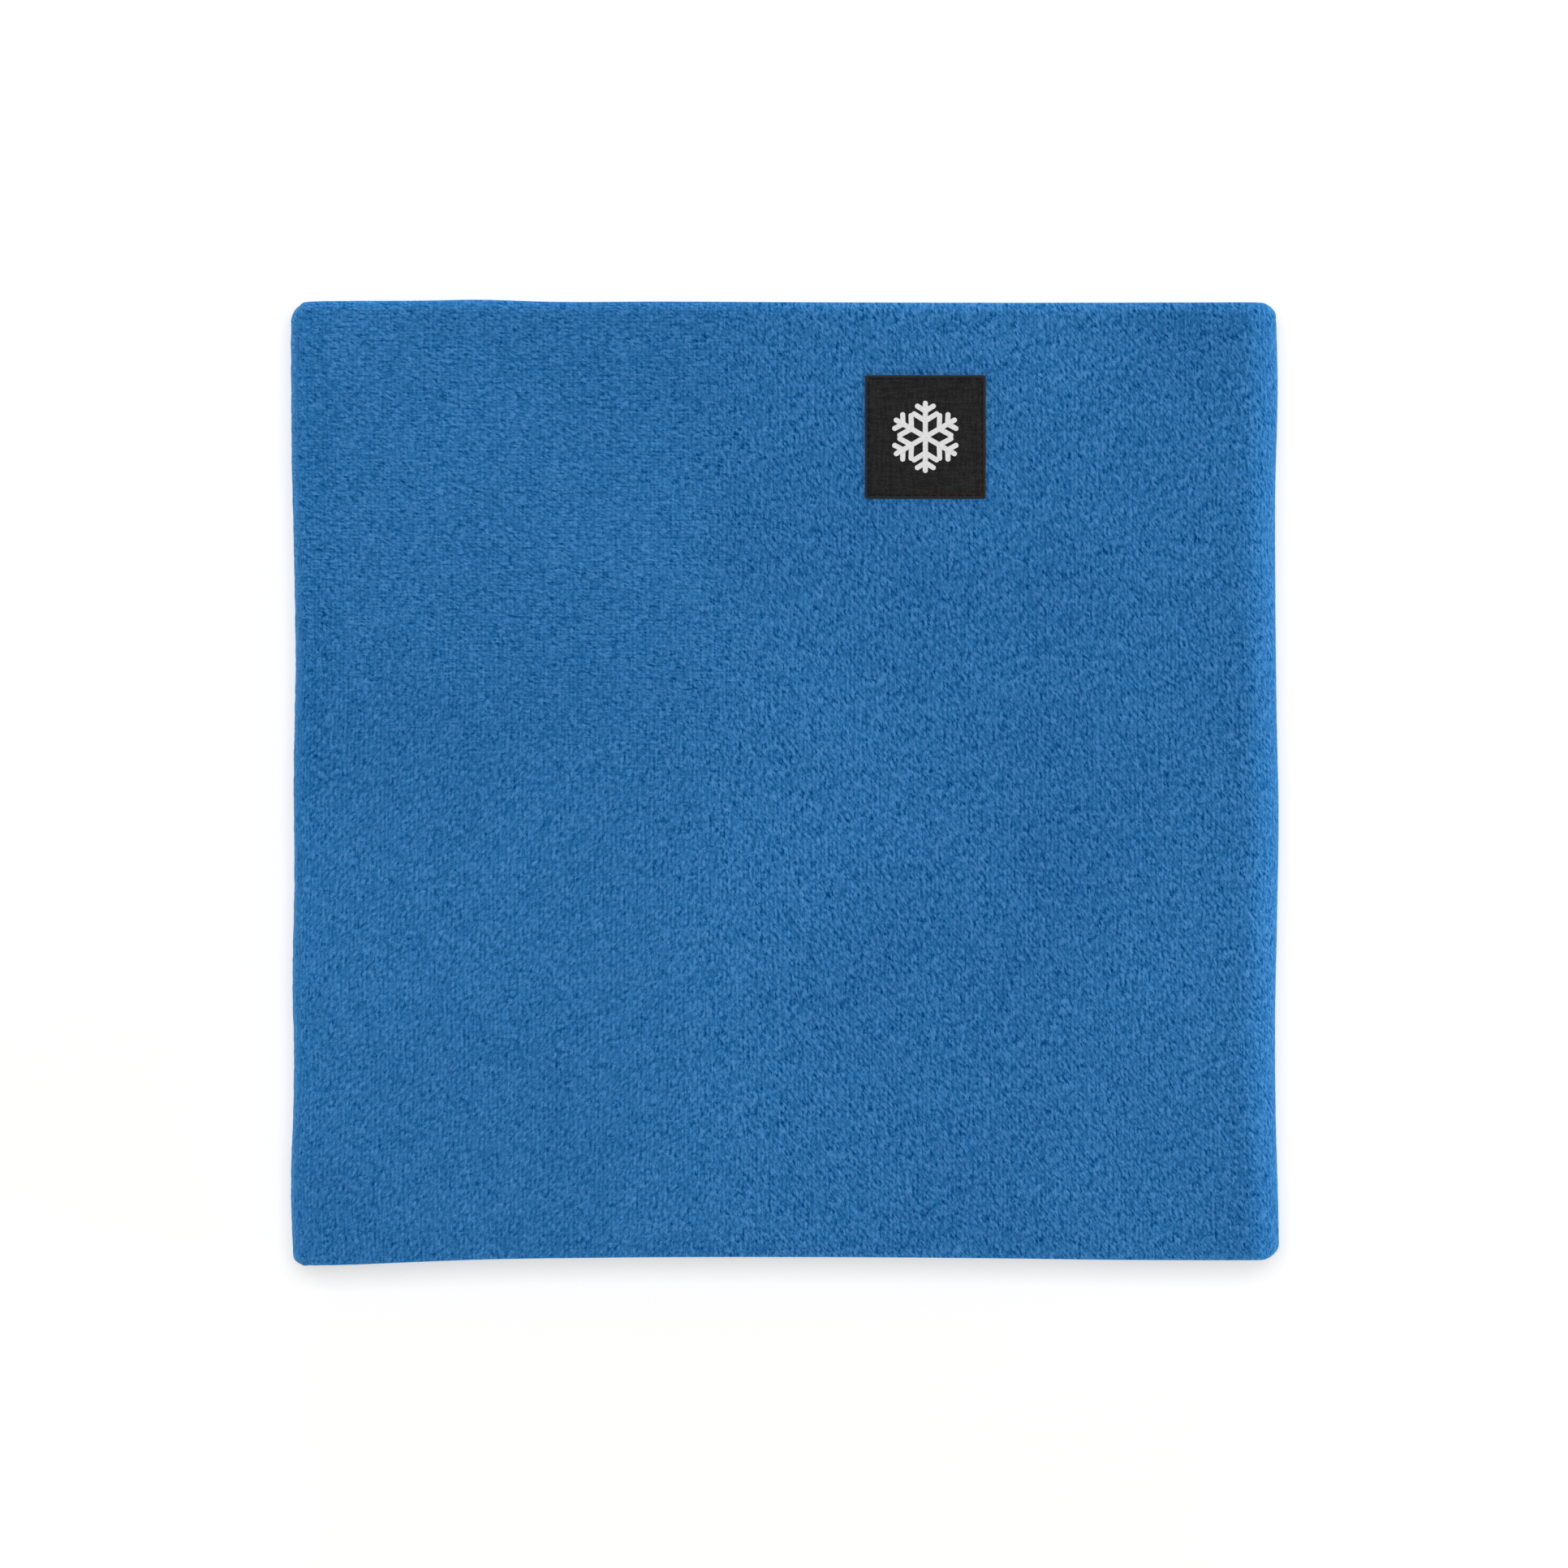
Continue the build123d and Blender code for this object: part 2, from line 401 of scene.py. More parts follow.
def puckers(ring, y):
    """How deep the small puckers beside a layer's side seam are, from 0 to 1."""
    round_it = ring[4][None, :]
    apart = np.minimum(round_it, round_it[0, -1] - round_it)
    swell = waves(round_it - 0.6 * y, y, 2.4 * MM, 51)
    beside = smooth_step(apart, SEAM_WIDTH, 3 * SEAM_WIDTH) * np.exp(-apart / PUCKER_REACH)
    return beside * (0.5 - 0.5 * swell)


def closing_line(x):
    """Where the closing stitches run along the lower hem, at x."""
    drift = CLOSING_DRIFT * (2 * smooth_step(x, *CLOSING_TURN) - 1)
    return ends_at(x)[0] + closing_low.y - tube_low.y + drift


def near_closing(x, y):
    """Closeness to the row of closing stitches, from 0 to 1, deepest at each stitch's ends."""
    reach = smooth_step(x, closing_low.x - 3 * MM, closing_low.x + 2 * MM)
    reach = reach * smooth_step(x, closing_high.x + 3 * MM, closing_high.x - 2 * MM)
    swing = np.cos(2 * math.pi * (x - closing_low.x) / closing_pitch)
    pull = 0.45 + 0.55 * smooth_step(swing, -0.3, 0.3)
    return reach * pull * np.exp(-(((y - closing_line(x)) / CLOSING_WIDTH) ** 2))


def outside_patch(x, y):
    """Distance outside the patch's outline, and 0 within it."""
    across = np.maximum(np.abs(x - patch_centre.x) - patch_half.x, 0)
    up = np.maximum(np.abs(y - patch_centre.y) - patch_half.y, 0)
    return np.hypot(across, up)


def pile_face(ring, rows, seed):
    """Height of a layer's pile, from 0 to 1, and how far that stands off the layer's face."""
    x, y = places(ring, rows)
    along, up = np.broadcast_arrays(ring[4][None, :], rows[4][:, None])
    height = nubs(along, up, x, y, seed)
    calm = 1 - smooth_step(np.abs(rows[3][:, None]), 0.5, 1.8)
    calm = calm * (1 - 0.8 * ring[2][None, :] ** 2)
    return height, PILE_RELIEF * calm * (height - 1)


def pulled_in(height, relief, depth, closeness):
    """The pile's height and relief with a furrow in them, where the pile is held down. The
    lowered height darkens the fleece's colour there, as painted shade in the furrow.
    """
    return height * (1 - 0.6 * closeness), relief * (1 - 0.7 * closeness) - depth * closeness


def under_patch(ring, rows, relief):
    """The relief pressed flat under the patch and drawn down round it."""
    x, y = places(ring, rows)
    on_front = ring[3][None, :] > 0.9
    outside = outside_patch(x, y)
    pressed = PATCH_BOTTOM - PATCH_PRESS + 0.15 * relief
    drawn_down = relief - PATCH_PULL * smooth_step(outside, PATCH_RIM, 0)
    return np.where(on_front, np.where(outside <= 0, pressed, drawn_down), relief)


# ---------------------------------------------------------------- meshes


def build(name, grids, material, close_rows=False, close_columns=False, capped=False):
    """One object of quads over grids of points, whose rows and columns may each close on
    themselves. capped closes each grid's first and last rows with a face."""
    corners, sizes, first = [], [], 0
    for grid in grids:
        index = first + np.arange(grid.shape[0] * grid.shape[1]).reshape(grid.shape[:2])
        first += index.size
        if close_rows:
            index = np.vstack((index, index[:1]))
        if close_columns:
            index = np.hstack((index, index[:, :1]))
        quads = np.stack((index[:-1, :-1], index[:-1, 1:], index[1:, 1:], index[1:, :-1]), -1)
        corners.append(quads.reshape(-1))
        sizes.append(np.full(quads.size // 4, 4))
        if capped:
            corners += [index[0, -2::-1], index[-1, :-1]]
            sizes.append(np.full(2, grid.shape[1]))
    points = np.concatenate([grid.reshape(-1, 3) for grid in grids])
    return build_faces(name, points, corners, sizes, material)


def build_faces(name, points, corners, sizes, material):
    """One object from its points, the corners of its faces one after another, and each face's
    number of corners, with a closed mesh's faces turned outwards."""
    corners, sizes = np.concatenate(corners), np.concatenate(sizes)
    mesh = bpy.data.meshes.new(name)
    mesh.vertices.add(len(points))
    mesh.vertices.foreach_set("co", points.reshape(-1).astype(np.float32))
    mesh.loops.add(len(corners))
    mesh.loops.foreach_set("vertex_index", corners.astype(np.int32))
    mesh.polygons.add(len(sizes))
    starts = np.cumsum(sizes) - sizes
    mesh.polygons.foreach_set("loop_start", starts.astype(np.int32))
    mesh.polygons.foreach_set("use_smooth", np.ones(len(sizes), bool))
    mesh.update(calc_edges=True)
    form = bmesh.new()
    form.from_mesh(mesh)
    if form.calc_volume(signed=True) < 0:
        bmesh.ops.reverse_faces(form, faces=form.faces)
        form.to_mesh(mesh)
    form.free()
    mesh.materials.append(material)
    piece = bpy.data.objects.new(name, mesh)
    bpy.context.scene.collection.objects.link(piece)
    return piece


def build_sheet(name, top, bottom, material):
    """A thin closed piece between two grids of points, joined round their borders."""
    rows, columns = top.shape[:2]
    index = np.arange(rows * columns).reshape(rows, columns)
    under = index + index.size
    border = np.concatenate((index[0, :-1], index[:-1, -1], index[-1, :0:-1], index[:0:-1, 0]))
    after = np.roll(border, -1)
    corners, sizes = [], []
    for grid in (index, under[::-1]):
        quads = np.stack((grid[:-1, :-1], grid[:-1, 1:], grid[1:, 1:], grid[1:, :-1]), -1)
        corners.append(quads.reshape(-1))
        sizes.append(np.full(quads.size // 4, 4))
    walls = np.stack((after, border, border + index.size, after + index.size), -1)
    corners.append(walls.reshape(-1))
    sizes.append(np.full(len(walls), 4))
    points = np.concatenate((top.reshape(-1, 3), bottom.reshape(-1, 3)))
    return build_faces(name, points, corners, sizes, material)


def keep_values(piece, name, values):
    """Keeps a number, or three, for each point of a piece, for its material to read."""
    kind, field = ("FLOAT", "value") if values.shape[-1] == 1 else ("FLOAT_VECTOR", "vector")
    attribute = piece.data.attributes.new(name, kind, "POINT")
    attribute.data.foreach_set(field, values.reshape(-1).astype(np.float32))


def strand(path, across, radius=THREAD, closed=False):
    """Rings of points along a two-ply thread. across is a direction its path never takes."""
    ahead, behind = np.roll(path, -1, 0), np.roll(path, 1, 0)
    if not closed:
        ahead[-1], behind[0] = path[-1], path[0]
    along = ahead - behind
    along /= np.linalg.norm(along, axis=1, keepdims=True)
    side = np.cross(along, across)
    side /= np.linalg.norm(side, axis=1, keepdims=True)
    up = np.cross(side, along)
    walked = np.cumsum(np.linalg.norm(np.diff(path, axis=0, prepend=path[:1]), axis=1))
    turns = walked[-1] / (8 * radius)
    if closed:
        turns = round(turns)
    twist = 2 * math.pi * turns * walked / walked[-1]
    angle = np.linspace(0, 2 * math.pi, 10, endpoint=False)[None, :]
    ply = radius * (0.85 + 0.15 * np.cos(2 * (angle - twist[:, None])))[..., None]
    ring = np.cos(angle)[..., None] * side[:, None] + np.sin(angle)[..., None] * up[:, None]
    return path[:, None] + ply * ring


def dash(centre, direction, size, radius, dip):
    """A stitch that comes up out of the cloth and goes down into it again."""
    place = np.linspace(-0.5, 0.5, 13)[:, None]
    direction = np.array((*direction, 0.0))
    path = np.array(centre) + place * size * direction
    path[:, 2] -= dip * (2 * np.abs(place[:, 0])) ** 4
    return strand(path, (0, 0, 1), radius)


# ---------------------------------------------------------------- material helpers


class Shader:
    """A new material's node tree, with short ways to add and link nodes."""

    def __init__(self, name):
        self.material = bpy.data.materials.new(name)
        self.material.use_nodes = True
        self.tree = self.material.node_tree
        self.principled = self.tree.nodes["Principled BSDF"]

    def put(self, node, name, value):
        """Sets or links one input of a node, found by its name or number."""
        socket = node.inputs[name]
        if isinstance(value, bpy.types.NodeSocket):
            self.tree.links.new(value, socket)
        else:
            socket.default_value = value

    def node(self, kind, settings=None, **inputs):
        """Adds a node. Its settings and inputs are given by name, with _ for a space."""
        made = self.tree.nodes.new("ShaderNode" + kind)
        for name, value in (settings or {}).items():
            setattr(made, name, value)
        for name, value in inputs.items():
            self.put(made, name.replace("_", " "), value)
        return made

    def attribute(self, name, output="Fac"):
        """A number or, as output "Vector", three, kept for each point of the mesh."""
        return self.node("Attribute", {"attribute_name": name}).outputs[output]

    def place(self):
        """Where a point lies, in metres."""
        return self.node("TexCoord").outputs["Object"]

    def math(self, operation, a, b=0.0):
        """A sum, product or other function of one or two numbers."""
        made = self.node("Math", {"operation": operation})
        self.put(made, 0, a)
        self.put(made, 1, b)
        return made.outputs[0]

    def ramp(self, value, start, end, low=0.0, high=1.0):
        """A smooth step from low to high as a value goes from start to end."""
        made = self.node(
            "MapRange", {"interpolation_type": "SMOOTHSTEP"},
            Value=value, From_Min=start, From_Max=end, To_Min=low, To_Max=high,
        )
        return made.outputs[0]

    def around_zero(self, noise, size):
        """Noise moved from its middle, 0.5, to zero, and made size times as strong."""
        return self.math("MULTIPLY", self.math("SUBTRACT", noise, 0.5), size)

    def noise(self, at, scale, detail=2.0, roughness=0.5):
        """Noise round 0.5, with scale repeats for each unit of its coordinates."""
        made = self.node("TexNoise", Vector=at, Scale=scale, Detail=detail, Roughness=roughness)
        return made.outputs["Fac"]

    def stretched(self, at, angle, along, across, start=(0, 0, 0)):
        """Coordinates from start along and across an angle, each in so many repeats per metre."""
        size = (1 / along, 1 / across, 1 / across)
        made = self.node(
            "Mapping", {"vector_type": "TEXTURE"},
            Vector=at, Location=start, Rotation=(0, 0, angle), Scale=size,
        )
        return made.outputs[0]

    def stripes(self, place, pitch, wander):
        """Waves from -1 to 1 with a pitch in metres, whose lines wander a little."""
        turns = self.math("DIVIDE", place, pitch)
        turns = self.math("ADD", turns, self.math("MULTIPLY", wander, 0.6))
        return self.math("COSINE", self.math("MULTIPLY", turns, 2 * math.pi))

    def mix(self, share, a, b):
        """A colour from a, where share is 0, to b, where it is 1."""
        made = self.node("Mix", {"data_type": "RGBA"})
        for socket, value in ((0, share), (6, a), (7, b)):
            self.put(made, socket, value)
        return made.outputs[2]

    def bump(self, height, distance, strength=1.0):
        """The normal of fine relief. distance is how far a height of 1 stands out."""
        made = self.node("Bump", Height=height, Distance=distance, Strength=strength)
        return made.outputs[0]

    def surface(self, **inputs):
        """Sets the shader's own inputs, and gives the finished material."""
        for name, value in inputs.items():
            self.put(self.principled, name.replace("_", " "), value)
        return self.material


def opaque(*colour):
    """A colour's red, green and blue, and full opacity."""
    return (*colour, 1.0)


def fleece_material():
    """Blue pile fleece: short crevices that lie three ways over the front and line up
    with the knit under the pile, their dark tone and their lighter and darker sides painted
    shade and light, patches where they are deeper, puckers beside the side seam with painted
    shade in them, painted shade where the mesh's pile is low, fibres between them, and slow
    changes of shade where the nap is brushed."""
    s = Shader("blue_fleece")
    cloth = s.attribute("cloth", "Vector")
    height = s.attribute("pile")
    right, lower, upper = s.node("SeparateXYZ", Vector=s.attribute("grain", "Vector")).outputs
    round_it, up, _ = s.node("SeparateXYZ", Vector=cloth).outputs
    # How far the pile lines up with the knit's columns in each part of the front
    columns = s.math("MULTIPLY", right, 0.88)
    columns = s.math("ADD", columns, s.math("MULTIPLY", lower, 0.6))
    columns = s.math("ADD", columns, s.math("MULTIPLY", upper, 0.35))
    beside_seam = s.ramp(round_it, 0.0, 13 * MM, 1.0, 0.0)
    beside_seam = s.math("MULTIPLY", beside_seam, s.ramp(up, -30 * MM, 10 * MM, 0.35, 1.0))
    crevices, relief = 0.0, 0.0
    # Each kind of crevice: how much of it there is, its direction, its repeats per metre along
    # and across that, its strength, and in degrees the direction that its shaded side faces. Its
    # dark tone is painted shade, and its sides are painted lighter and darker, as painted light
    # and shade, from the same noise a quarter millimetre off
    for share, angle, along, across, depth, shaded in (
        (right, LIES[0], 560, 1330, 0.90, 154),
        (lower, LIES[1], 700, 1200, 0.66, 66),
        (upper, LIES[2], 560, 1320, 0.54, 55),
        (columns, math.pi / 2, 330, 1450, 0.48, 154),
        (upper, 0.0, 380, 1450, 0.44, 55),
        (beside_seam, LIES[2], 300, 700, 0.40, 55),
    ):
        turn = math.radians(shaded)
        beside = 0.25 * MM * Vector((math.cos(turn), math.sin(turn), 0))
        pile = s.noise(s.stretched(cloth, angle, along, across), 1.0, 3.0, 0.55)
        before = s.noise(s.stretched(cloth, angle, along, across, beside), 1.0, 3.0, 0.55)
        # Painted light and shade: one side of each crevice lighter, the other darker
        rise = s.math("MULTIPLY", s.math("SUBTRACT", pile, before), 0.35 * depth)
        shade = s.math("ADD", s.around_zero(pile, depth), rise)
        crevices = s.math("ADD", crevices, s.math("MULTIPLY", shade, share))
        depths = s.math("MULTIPLY", s.around_zero(pile, 1.15 * depth), share)
        relief = s.math("ADD", relief, depths)
    patchy = s.ramp(s.noise(cloth, 330.0, 2.0, 0.6), 0.3, 0.7, 0.5, 1.5)
    crevices = s.math("ADD", s.math("MULTIPLY", crevices, patchy), 0.5)
    wander = s.noise(cloth, 70.0, 2.0, 0.5)
    wales = s.stripes(round_it, WALE, wander)
    courses = s.math("MULTIPLY", s.stripes(up, COURSE, wander), upper)
    wales = s.math("MULTIPLY", wales, s.ramp(upper, 0.0, 1.0, 0.027, 0.019))
    knit = s.math("ADD", wales, s.math("MULTIPLY", courses, 0.017))
    crevices = s.math("ADD", crevices, knit)
    fibres = s.noise(cloth, 3400.0, 3.0, 0.65)
    clumps = s.noise(cloth, 170.0, 2.0, 0.5)
    tone = s.math("ADD", s.math("MULTIPLY", crevices, 2.7), -0.7)
    # Painted shade: darker where the mesh's pile is low, in its crevices and in the furrows
    tone = s.math("MULTIPLY", tone, s.ramp(height, 0.0, 0.6, 0.72, 1.0))
    tone = s.math("ADD", tone, s.ramp(fibres, 0.25, 0.75, -0.28, 0.28))
    tone = s.math("ADD", tone, s.ramp(clumps, 0.3, 0.7, -0.05, 0.05))
    # Painted shade in the puckers beside the side seam
    tone = s.math("SUBTRACT", tone, s.math("MULTIPLY", beside_seam, 0.09))
    brushed = s.ramp(s.noise(cloth, 12.0, 4.0, 0.6), 0.3, 0.7)
    dark = s.mix(brushed, opaque(0.0001, 0.049, 0.204), opaque(0.0003, 0.061, 0.232))
    blue = s.mix(brushed, opaque(0.0035, 0.149, 0.400), opaque(0.0075, 0.172, 0.450))
    light = s.mix(brushed, opaque(0.068, 0.244, 0.560), opaque(0.082, 0.280, 0.624))
    relief = s.math("ADD", relief, s.math("MULTIPLY", fibres, 0.3))
    return s.surface(
        Base_Color=s.mix(tone, s.mix(tone, dark, blue), s.mix(tone, blue, light)),
        Roughness=0.92,
        Specular_IOR_Level=0.02,
        Sheen_Weight=0.42,
        Sheen_Roughness=0.4,
        Sheen_Tint=opaque(0.14, 0.52, 1.0),
        Normal=s.bump(relief, 0.4 * MM, 0.6),
    )


def thread_material(name, colour, roughness=0.6):
    """Spun two-ply thread: fine fibres along it and a faint sheen."""
    s = Shader(name)
    fluff = s.noise(s.place(), 5200.0, 3.0, 0.6)
    deep = opaque(*(0.45 * value for value in colour))
    return s.surface(
        Base_Color=s.mix(s.ramp(fluff, 0.3, 0.65), deep, opaque(*colour)),
        Roughness=roughness,
        Specular_IOR_Level=0.1,
        Sheen_Weight=0.05,
        Normal=s.bump(fluff, 0.04 * MM, 0.6),
    )


def patch_material():
    """Black plain weave with slubs, worn grey along its edges, and faded brown along the
    stitches at its lower right."""
    s = Shader("black_canvas")
    place = s.place()
    thread, worn, faded = s.node("SeparateXYZ", Vector=s.attribute("canvas", "Vector")).outputs
    flecks = s.noise(place, 2600.0, 3.0, 0.6)
    weft = s.noise(s.stretched(place, 0.0, 300, 1900), 1.0)
    warp = s.noise(s.stretched(place, 0.0, 1900, 300), 1.0)
    slubs = s.ramp(s.math("ADD", weft, warp), 0.75, 1.25, 0.6, 1.4)
    tone = s.math("MULTIPLY", s.ramp(thread, 0.0, 1.0, 0.42, 0.64), slubs)
    tone = s.math("MULTIPLY", tone, s.ramp(flecks, 0.35, 0.65, 0.5, 1.4))
    ground = s.mix(tone, opaque(0.0030, 0.0030, 0.0033), opaque(0.0300, 0.0300, 0.0305))
    ground = s.mix(s.math("MULTIPLY", faded, 0.8), ground, opaque(0.034, 0.019, 0.010))
    return s.surface(
        Base_Color=s.mix(s.math("MULTIPLY", worn, 0.9), ground, opaque(0.029, 0.029, 0.030)),
        Roughness=0.8,
        Specular_IOR_Level=0.12,
        Sheen_Weight=0.04,
        Normal=s.bump(flecks, 0.03 * MM, 0.5),
    )


def print_material():
    """Matte white print over the weave, a little thin in places."""
    s = Shader("white_print")
    place = s.place()
    grainy = s.noise(place, 1800.0, 3.0, 0.6)
    tone = s.ramp(grainy, 0.3, 0.6)
    return s.surface(
        Base_Color=s.mix(tone, opaque(0.74, 0.74, 0.74), opaque(0.86, 0.86, 0.86)),
        Roughness=0.75,
        Normal=s.bump(grainy, 0.03 * MM, 0.5),
    )


def satin_material():
    """Blank satin tape: long floats across it, with a soft gloss."""
    s = Shader("satin_tape")
    floats = s.noise(s.stretched(s.place(), 0.0, 350, 4200), 1.0)
    tone = s.ramp(floats, 0.3, 0.7)
    return s.surface(
        Base_Color=s.mix(tone, opaque(0.60, 0.60, 0.585), opaque(0.76, 0.76, 0.745)),
        Roughness=0.38,
        Sheen_Weight=0.2,
        Normal=s.bump(floats, 0.02 * MM, 0.4),
    )


# ---------------------------------------------------------------- the fleece layers


def fleece_layer(name, ring, rows, depth, height, relief, material):
    """A layer: its pile face at depth, closed by the plain face in which the layers meet."""
    pile = face(ring, rows, depth, relief)
    plain = face(ring, [value[ROLL_ROWS:-ROLL_ROWS] for value in rows_along(PLAIN_STEPS)], fleece)
    grid = np.concatenate((pile, plain[::-1]))
    piece = build(name, [grid], material, close_rows=True, close_columns=True)
    cloth = np.stack(np.broadcast_arrays(ring[4][None, :], rows[4][:, None], 0.0), -1)
    shares = grain(*places(ring, rows))
    shares /= np.linalg.norm(shares, axis=-1, keepdims=True)
    # The pile's height goes to the material, which paints shade where it is low
    for label, values in (("cloth", cloth), ("pile", height[..., None]), ("grain", shares)):
        keep_values(piece, label, np.pad(values, ((0, len(plain)), (0, 0), (0, 0)), mode="edge"))
    return piece


flat_length = length - 2 * ROLL_ALONG
fleece_look = fleece_material()

ring = section(*OUTER_STEPS)
rows = rows_along(np.linspace(0, 1, round(flat_length / OUTER_STEPS[0]))[1:-1])
x, y = places(ring, rows)
height, relief = pile_face(ring, rows, seed=3)
height, relief = pulled_in(height, relief, SEAM_DEPTH, near_seam(ring, y, 1))
height, relief = pulled_in(height, relief, CLOSING_DEPTH, near_closing(x, y) * (ring[3] > 0.9))
relief = under_patch(ring, rows, relief) - PUCKER_DEPTH * puckers(ring, y)
outer = fleece_layer("outer_fleece", ring, rows, 0, height, relief, fleece_look)

# The lining is in sight only near the tube's ends, and has longer rows between them
near = np.linspace(0, LINING_END / flat_length, round(LINING_END / LINING_STEPS[0]))[1:]
between = np.linspace(near[-1], 1 - near[-1], LINING_MIDDLE_ROWS + 2)[1:-1]
ring = section(*LINING_STEPS)
rows = rows_along(np.concatenate((near, between, 1 - near[::-1])))
x, y = places(ring, rows)
height, relief = pile_face(ring, rows, seed=5)
height, relief = pulled_in(height, relief, SEAM_DEPTH, near_seam(ring, y, -1))
lining = fleece_layer("lining_fleece", ring, rows, 2 * fleece, height, relief, fleece_look)

# ---------------------------------------------------------------- the seams


def end_seam_path(end):
    """The seam in the crease between the layers, round one end of the tube."""
    x, z, out_x, out_z, round_it = section(*SEAM_STEPS)
    inset = END_SEAM_INSET + STITCH_WAVE * np.sin(2 * math.pi * round_it / STITCH)
    y = ends_at(x)[(end + 1) // 2] - end * inset
    return settle(x - fleece * out_x, y, z - fleece * out_z)


def side_seam_path(side, depth):
    """The seam along the bottom of a side seam's furrow. side is 1 above the fold's middle."""
    inset = 2 * ROLL_ALONG
    y = np.linspace(tube_low.y + inset, tube_high.y - inset, SIDE_SEAM_POINTS)
    wave = STITCH_WAVE * np.cos(2 * math.pi * y / STITCH)
    radius = middle - depth - wave
    x = -flat_half - radius * math.cos(SEAM_ANGLE)
    return settle(x, y, middle + side * radius * math.sin(SEAM_ANGLE))


blue_thread = thread_material("blue_thread", (0.006, 0.075, 0.255))
seams = {}
for name, end in (("collar_seam_thread", 1), ("hem_seam_thread", -1)):
    grid = strand(end_seam_path(end), (0, 1, 0), closed=True)
    seams[name] = build(name, [grid], blue_thread, close_rows=True, close_columns=True)
for name, side, depth in (
    ("outer_side_seam", 1, SEAM_SUNK),
    ("lining_side_seam", -1, 2 * fleece - SEAM_SUNK),
):
    grid = strand(side_seam_path(side, depth), (0, 0, 1))
    seams[name] = build(name, [grid], blue_thread, close_columns=True, capped=True)


def front_level(x, y):
    """Height of the tips of the front's pile."""
    return thickness - sag(np.asarray(x), np.asarray(y))


grids = []
for k in range(CLOSING_COUNT):
    x = closing_low.x + (k + 0.5) * closing_pitch
    y = float(closing_line(np.array([x]))[0]) + dice.uniform(-0.1, 0.1) * MM
    z = float(front_level(x, y)) - CLOSING_DEPTH - 0.05 * MM
    tilt = dice.uniform(-0.12, 0.12)
    direction = (math.cos(tilt), math.sin(tilt))
    grids.append(dash((x, y, z), direction, *CLOSING_STITCH))
closing = build("closing_stitch_row", grids, blue_thread, close_columns=True, capped=True)

# ---------------------------------------------------------------- the woven patch


def plain_weave(x, y):
    """Height of a plain weave, from 0 between its threads to 1 on top of them."""
    across, up = x / WEAVE, y / WEAVE
    over = (np.floor(across) + np.floor(up)) % 2
    crown, length_way = np.abs(np.sin(math.pi * across)), np.abs(np.sin(math.pi * up))
    return np.where(over > 0, crown * np.sqrt(length_way), length_way * np.sqrt(crown))


stitch_low, stitch_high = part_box("patch_stitches")
# From the patch's centre to the middle of each row of stitches, which is 0.3 mm wide
stitch_half = ((stitch_high - stitch_low) / 2).xy - Vector((0.15 * MM, 0.15 * MM))
columns = np.linspace(-patch_half.x, patch_half.x, round(2 * patch_half.x / PATCH_GRID))
lines = np.linspace(-patch_half.y, patch_half.y, round(2 * patch_half.y / PATCH_GRID))
x, y = np.meshgrid(columns, lines)
over_x = np.maximum(np.abs(x) - patch_half.x + PATCH_CORNER, 0)
over_y = np.maximum(np.abs(y) - patch_half.y + PATCH_CORNER, 0)
square, circle = np.maximum(over_x, over_y), np.hypot(over_x, over_y)
pull = np.divide(square, circle, out=np.ones_like(square), where=circle > 0) - 1
x, y = x + np.sign(x) * over_x * pull, y + np.sign(y) * over_y * pull
weave = plain_weave(x, y)
inside = np.minimum(patch_half.x - np.abs(x), patch_half.y - np.abs(y))
to_stitches = np.minimum(
    np.abs(np.abs(x) - stitch_half.x) + np.where(np.abs(y) < stitch_half.y, 0, 1),
    np.abs(np.abs(y) - stitch_half.y) + np.where(np.abs(x) < stitch_half.x, 0, 1),
)
edge_drop = PATCH_EDGE - np.sqrt(PATCH_EDGE**2 - np.clip(PATCH_EDGE - inside, 0, PATCH_EDGE) ** 2)
x, y = x + patch_centre.x, y + patch_centre.y
level = front_level(x, y)
groove = PATCH_STITCH_GROOVE * np.exp(-((to_stitches / (0.3 * MM)) ** 2))
top = level + PATCH_TOP + 0.05 * MM * (weave - 1) - 0.8 * edge_drop - groove
bottom = level + PATCH_BOTTOM + 0.3 * edge_drop
upper_face, lower_face = (np.stack((x, y, z), -1) for z in (top, bottom))
patch = build_sheet("canvas_patch", upper_face, lower_face, patch_material())
lower_right = smooth_step(x - patch_centre.x - (y - patch_centre.y), 0, 24 * MM)
worn = smooth_step(inside, 1.0 * MM, 0.1 * MM) * (1 - 0.45 * lower_right)
faded = smooth_step(to_stitches, 0.6 * MM, 0.2 * MM) * lower_right
canvas = np.stack((weave, worn, faded), -1).reshape(-1, 3)
keep_values(patch, "canvas", np.tile(canvas, (2, 1)))

# The stitches round the patch
grids = []
for k in range(PATCH_STITCHES):
    step = (k - (PATCH_STITCHES - 1) / 2) * PATCH_STITCH_STEP
    for across, up, direction in (
        (step, stitch_half.y, (1, 0)), (step, -stitch_half.y, (1, 0)),
        (stitch_half.x, step, (0, 1)), (-stitch_half.x, step, (0, 1)),
    ):
        x = patch_centre.x + across + dice.uniform(-0.05, 0.05) * MM
        y = patch_centre.y + up + dice.uniform(-0.05, 0.05) * MM
        z = float(front_level(x, y)) + PATCH_TOP - 0.02 * MM
        size, radius, dip = PATCH_STITCH
        size += dice.uniform(-0.1, 0.1) * MM
        grids.append(dash((x, y, z), direction, size, radius, dip))
black_thread = thread_material("black_thread", (0.0022, 0.0022, 0.0025))
patch_seam = build("patch_stitch_rows", grids, black_thread, close_columns=True, capped=True)


